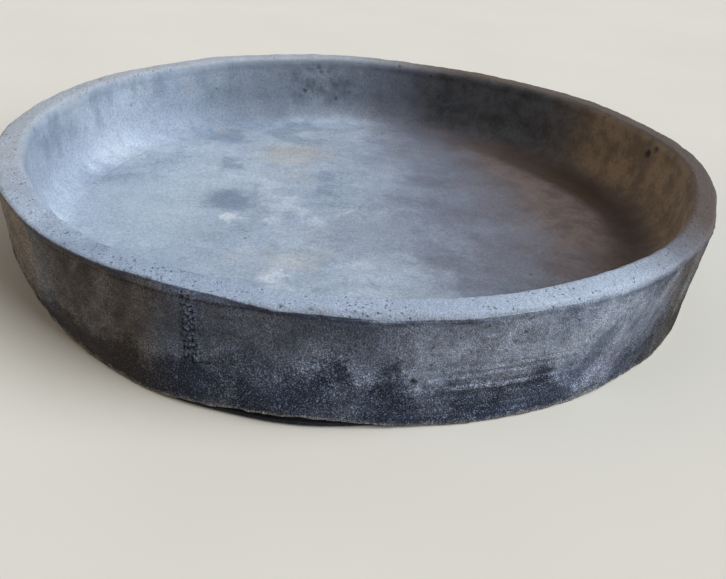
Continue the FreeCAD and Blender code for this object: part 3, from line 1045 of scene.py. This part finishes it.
def soiled_and_shaded(tree, colour):
    """A colour under the inside's staining and painted light: a grey painted shade, browner soiling that is
    partly painted shade and, up the wall, painted warm bounced light, a wall darkened by weathering and
    shade, and the cove's band.
    """
    stain = tree.ragged(tree.field("earthy"), 0.6, 19, 5.0, 0.62, 13.0)
    # Grey over the floor's right side: painted shade
    colour = tree.layer(colour, stain, 0.05, 0.6, 0.8, tone(91, 90, 103))
    up_wall = tree.between(tree.height(), *SOIL_RISE)
    # Browner soiling, lighter up the wall as painted warm bounced light, partly painted shade
    dark_soil_and_bounce = tree.mix(up_wall, tone(90, 75, 68), tone(106, 90, 73))
    light_soil_and_bounce = tree.mix(up_wall, tone(112, 96, 89), tone(144, 124, 100))
    soil_and_bounce = tree.layer(dark_soil_and_bounce, tree.noise(48, 5.0, 0.68, 3.0), 0.36, 0.64, 1.0, light_soil_and_bounce)
    colour = tree.layer(colour, stain, 0.48, 0.95, 0.9, soil_and_bounce)
    # Dark back wall inside: weathering, partly painted shade
    worn_and_shaded = tree.layer(tone(58, 57, 58), tree.noise(62, 5.0, 0.7, 33.0), 0.34, 0.64, 1.0, tone(82, 84, 90))
    colour = tree.mix(tree.field("weathered"), colour, worn_and_shaded)
    # Dark band along the cove: staining, partly painted shade in the corner
    return tree.tinted(colour, "stain", 0.88, tone(52, 37, 23))


def damp_share(tree, grit):
    """How damp the wall is at its foot: ragged at the top, with dry grains standing out of it."""
    edge = tree.ragged(tree.field("tide"), 44, 55, 5.0, 0.68, 3.0)
    edge = tree.ragged(edge, 22, 380, 3.0, 0.7, 5.0)
    patchy = tree.between(tree.noise(38, 4.0, 0.6, 8.0), 0.3, 0.6, 0.65, 1.0)
    dry_grains = tree.between(grit, 0.52, 0.7, 1.0, 0.68)
    return tree.times(tree.times(tree.between(edge, -7.0, 8.0), patchy), dry_grains)


def wall_look(tree, grit):
    """The wall's colour with its streaks, damp foot, crumbling edge, sand and seam, and painted shade in the
    seam's groove and under the foot.
    """
    streak = tree.field("streak")
    colour = tree.layer(wall_colour(tree), streak, 0.05, 0.55, 0.6, tone(166, 174, 186))
    colour = tree.layer(colour, streak, -0.05, -0.55, 0.6, tone(70, 79, 98))
    # Browner damp on the right: part of the soiling and painted shade
    damp_tone = tree.mix(tree.field("earthy"), tone(35, 43, 60), tone(44, 38, 32))
    colour = tree.mix(damp_share(tree, grit), colour, damp_tone)
    colour = tree.varied(colour, tree.field("trowel"), -0.4, 0.4, 0.64, 1.5)
    crumbs = tree.ragged(tree.field("foot"), 9.0, 140, 4.0, 0.7)
    colour = tree.layer(colour, crumbs, 2.6, 0.4, 0.65, tone(146, 142, 138))
    contrast = tree.between(tree.field("tide"), -14.0, 4.0, 2.1, 2.9)
    contrast = tree.math("MULTIPLY_ADD", tree.field("pale"), -0.6, contrast)
    contrast = tree.ragged(contrast, 1.4, 42, 3.0, 0.6, 29.0)
    sand = tree.between(grit, *GRIT_RANGE, -1.0, 1.0)
    colour = tree.scaled(colour, tree.math("POWER", tree.math("MAXIMUM", contrast, 1.3), sand))
    # Pinholes: dark specks of painted shade
    holes = tree.times(tree.pinholes(270, 0.2, 0.3), 0.5)
    colour = tree.mix(holes, colour, tone(30, 34, 44))
    seam = tree.field("seam")
    colour = tree.layer(colour, seam, 0.2, 1.0, 0.45, tone(150, 155, 164))
    # Near black where the seam field is low: painted shade in the seam's groove and crack and under the foot
    return tree.layer(colour, seam, -0.2, -0.9, 0.85, tone(22, 23, 26))


def wall_cement():
    tree = Tree("wall_cement")
    grit = tree.noise(*SAND_GRIT)
    # Pits painted dark, as the shade in them
    colour = tree.tinted(wall_look(tree, grit), "pit_shade", 0.8, tone(24, 25, 28))
    return tree.finish(colour, tree.between(grit, *GLOSS_RANGE, 0.82, 0.96), tree.bump(grit, WALL_BUMP))


def rim_cement():
    """The rim's own look on top, lighter partly as painted light, the lining's over its inner edge and the
    wall's over its outer edge.
    """
    tree = Tree("rim_cement")
    grit = tree.noise(*SAND_GRIT)
    clusters = tree.between(tree.noise(60, 3.0, 0.6, 14.0), 0.46, 0.64, 0.08, 0.5)
    holes = tree.pinholes(430, tree.plus(clusters, tree.field("pitted")), 0.36)
    colour = tree.varied(rim_colour_and_top_light(tree), grit, *GRIT_RANGE, 0.66, 1.28)
    # Pinholes: dark specks of painted shade
    colour = tree.mix(tree.times(holes, 0.6), colour, tone(70, 76, 88))
    colour = tree.mix(tree.field("inward"), colour, soiled_and_shaded(tree, lining_colour(tree)))
    outward = tree.ragged(tree.field("outward"), 0.7, 300, 4.0, 0.7)
    outward = tree.between(outward, 0.15, 0.85)
    colour = tree.mix(outward, colour, wall_look(tree, grit))
    faint = tree.between(tree.noise(60, 3.0, 0.6, 11.0), 0.35, 0.6, 0.25, 0.85)
    # Bluish dark line below the outer edge: painted shadow of the crease under the lip
    colour = tree.tinted(colour, "edge_line", faint, tone(50, 60, 82))
    # Pits painted dark, as the shade in them
    colour = tree.tinted(colour, "pit_shade", 0.75, tone(38, 39, 44))
    top = tree.times(tree.math("SUBTRACT", grit, holes), RIM_BUMP)
    face = tree.times(grit, WALL_BUMP)
    relief = tree.plus(top, tree.times(outward, tree.math("SUBTRACT", face, top)))
    return tree.finish(colour, tree.between(grit, *GLOSS_RANGE, 0.8, 0.95), tree.bump(relief, 1.0))


def lining_cement():
    tree = Tree("lining_cement")
    colour = lining_colour(tree)
    for x, y, full, faded, ragged, shade, share in FLOOR_PATCHES:
        patch = tree.spot((x * MM, y * MM, floor_height), full * MM, faded * MM, ragged * MM, PATCH_GRAIN)
        colour = tree.mix(tree.times(patch, share), colour, shade)
    colour = tree.tinted(soiled_and_shaded(tree, colour), "marks", 0.6, tone(52, 55, 64))
    grit = tree.noise(*LINING_GRIT)
    colour = tree.varied(colour, grit, *GRIT_RANGE, 0.82, 1.17)
    # Pits painted dark, as the shade in them
    colour = tree.tinted(colour, "pit_shade", 0.8, tone(34, 33, 34))
    return tree.finish(colour, tree.between(grit, *GLOSS_RANGE, 0.74, 0.9), tree.bump(grit, LINING_BUMP))


def drawn_wire():
    tree = Tree("drawn_wire")
    streaks = tree.noise(240, 4.0, 0.6)
    colour = tree.mix(streaks, tone(120, 116, 110), tone(176, 172, 164))
    tree.shader.inputs["Metallic"].default_value = 1.0
    roughness = tree.between(streaks, *GLOSS_RANGE, 0.35, 0.55)
    return tree.finish(colour, roughness, tree.bump(streaks, WIRE_BUMP, WIRE_BUMP_SHARE))


# Each slot's material
MATERIALS = {"wall_cement": wall_cement(), "rim_cement": rim_cement(), "lining_cement": lining_cement()}
wire_material = drawn_wire()

PIECES = (
    (wall_band, "wall_band", "wall_cement"),
    (seam_fill, "wall_seam_fill", "wall_cement"),
    (slab, "base_slab", "wall_cement"),
    (coping, "rim_coping", "rim_cement"),
    (render_coat, "inner_render", "lining_cement"),
    (cove, "inner_cove", "lining_cement"),
    (screed, "floor_screed", "lining_cement"),
)
for piece, node, slot in PIECES:
    piece.data.materials.append(MATERIALS[slot])
    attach(piece, "root")
    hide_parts(node)
WIRES = ("base_wires_lengthwise", "base_wires_crosswise", "wall_uprights",
         "lower_wall_hoop", "upper_wall_hoop", "rim_hoop")
for node in WIRES:
    wire_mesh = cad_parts[node].data
    wire_mesh.materials.clear()
    wire_mesh.materials.append(wire_material)


# Camera at the photograph's viewing angle, for an image of 726 by 579 pixels
IMAGE_WIDTH = 726
FOCAL_PIXELS = 840
CAMERA_PLACE = (0.0, -0.5677, 0.2648)
CAMERA_YAW, CAMERA_PITCH, CAMERA_ROLL = 0.955, 29.07, 4.57
CAMERA_CLIP = 10 * MM

camera_data = bpy.data.cameras.new("camera")
camera_data.sensor_fit = "HORIZONTAL"
camera_data.lens = FOCAL_PIXELS * camera_data.sensor_width / IMAGE_WIDTH
camera_data.clip_start = CAMERA_CLIP
camera = bpy.data.objects.new("camera", camera_data)
camera.matrix_world = (
    Matrix.Translation(CAMERA_PLACE)
    @ Matrix.Rotation(math.radians(-CAMERA_YAW), 4, "Z")
    @ Matrix.Rotation(math.radians(90 - CAMERA_PITCH), 4, "X")
    @ Matrix.Rotation(math.radians(CAMERA_ROLL), 4, "Z")
)
bpy.context.collection.objects.link(camera)
bpy.context.scene.camera = camera


# Floor, light and world

def seen_share(nodes, links):
    """1 for rays that show the background itself, 0 for rays that only carry its light."""
    path = nodes.new("ShaderNodeLightPath")
    share = path.outputs["Is Camera Ray"]
    for ray in ("Is Glossy Ray", "Is Transmission Ray"):
        either = nodes.new("ShaderNodeMath")
        either.operation = "MAXIMUM"
        links.new(share, either.inputs[0])
        links.new(path.outputs[ray], either.inputs[1])
        share = either.outputs[0]
    return share


# What colour of light the floor sends back, and its own faint relief
FLOOR_BOUNCE = (0.34, 0.27, 0.19, 1.0)
FLOOR_BUMP, FLOOR_BUMP_SHARE, FLOOR_ROUGHNESS = 0.1 * MM, 0.1, 0.9


def floor_material():
    tree = Tree("pale_floor")
    mottle = tree.noise(5, 2.0)
    pale = tree.mix(mottle, tone(226, 220, 210), tone(234, 229, 220))
    colour = tree.mix(seen_share(tree.nodes, tree.links), FLOOR_BOUNCE, pale)
    return tree.finish(colour, FLOOR_ROUGHNESS, tree.bump(mottle, FLOOR_BUMP, FLOOR_BUMP_SHARE))


FLOOR_HALF = 4.0
FLOOR_DROP = 0.1 * MM
FLOOR_CORNERS = ((-1, -1), (1, -1), (1, 1), (-1, 1))
floor_mesh = bpy.data.meshes.new("studio_floor")
floor_points = [(x * FLOOR_HALF, y * FLOOR_HALF, -FLOOR_DROP) for x, y in FLOOR_CORNERS]
floor_mesh.from_pydata(floor_points, [], [(0, 1, 2, 3)])
floor_mesh.materials.append(floor_material())
floor = bpy.data.objects.new("studio_floor", floor_mesh)
bpy.context.collection.objects.link(floor)


# Lamps: name, azimuth, elevation and width in the sky in degrees, strength, colour
LAMPS = (
    ("key_light", -18, 40, 56, 3.5, (0.92, 0.97, 1.0)),
    ("back_fill", 95, 30, 50, 0.25, (0.96, 0.98, 1.0)),
    ("left_fill", -172, 16, 60, 0.85, (1.0, 0.81, 0.57)),
)
for name, azimuth, elevation, width, strength, colour in LAMPS:
    lamp = bpy.data.lights.new(name, "SUN")
    lamp.angle = math.radians(width)
    lamp.energy = strength
    lamp.color = colour
    rise = math.radians(elevation)
    place = Vector(polar(azimuth, math.cos(rise), math.sin(rise)))
    holder = bpy.data.objects.new(name, lamp)
    holder.matrix_world = Matrix.Translation(place) @ place.to_track_quat("Z", "Y").to_matrix().to_4x4()
    bpy.context.collection.objects.link(holder)

# The world's strength as light and as background, and its colour
WORLD_LIGHT = 0.12
WORLD_SEEN = 0.85
WORLD_COLOUR = (0.92, 0.96, 1.0, 1.0)
world = bpy.data.worlds.new("soft_world")
world.use_nodes = True
world_nodes, world_links = world.node_tree.nodes, world.node_tree.links
background = world_nodes["Background"]
background.inputs["Color"].default_value = WORLD_COLOUR
world_strength = world_nodes.new("ShaderNodeMapRange")
world_strength.inputs["To Min"].default_value = WORLD_LIGHT
world_strength.inputs["To Max"].default_value = WORLD_SEEN
world_links.new(seen_share(world_nodes, world_links), world_strength.inputs["Value"])
world_links.new(world_strength.outputs["Result"], background.inputs["Strength"])
bpy.context.scene.world = world
bpy.context.scene.view_settings.view_transform = "Standard"
